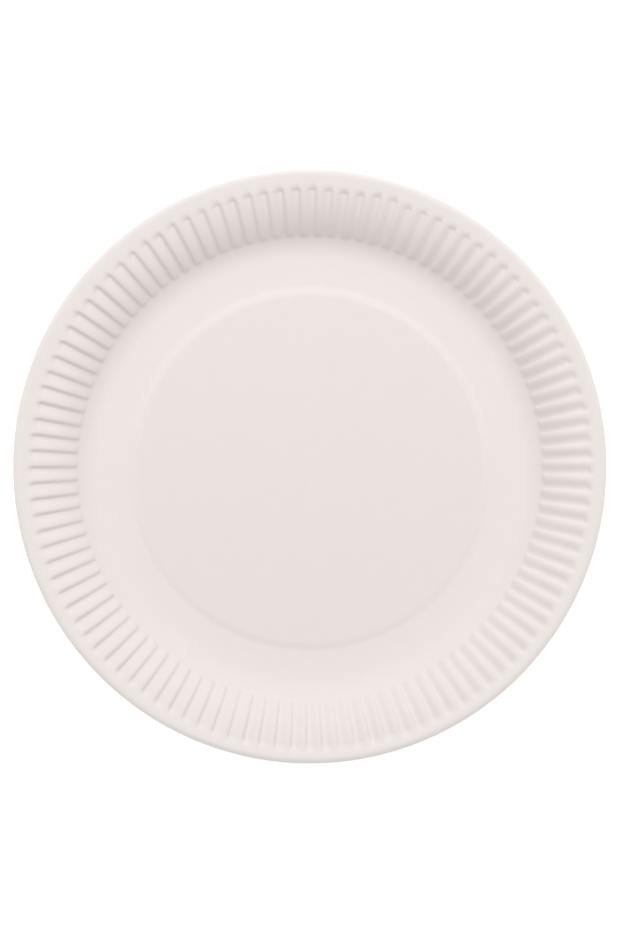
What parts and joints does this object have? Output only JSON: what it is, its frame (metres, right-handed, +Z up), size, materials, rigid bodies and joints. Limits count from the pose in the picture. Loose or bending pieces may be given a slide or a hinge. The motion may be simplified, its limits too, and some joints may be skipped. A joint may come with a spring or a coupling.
{
  "type": "paper plate",
  "caption": "Round shallow plate pressed from one sheet of paperboard, with a stepped flat middle, a foot ring, a fluted wall, a flat lip and a turned-down edge.",
  "frame": {"origin": "middle of the outer edge seen from above, on the surface that the plate stands on", "axes": "+Z up out of the plate, +Y towards the top of the picture, +X towards its right"},
  "size_m": [0.23, 0.23, 0.016],
  "materials": {
    "paperboard": "matte uncoated white paperboard"
  },
  "bodies": {
    "root": {"plate": "paperboard"}
  },
  "joints": []
}
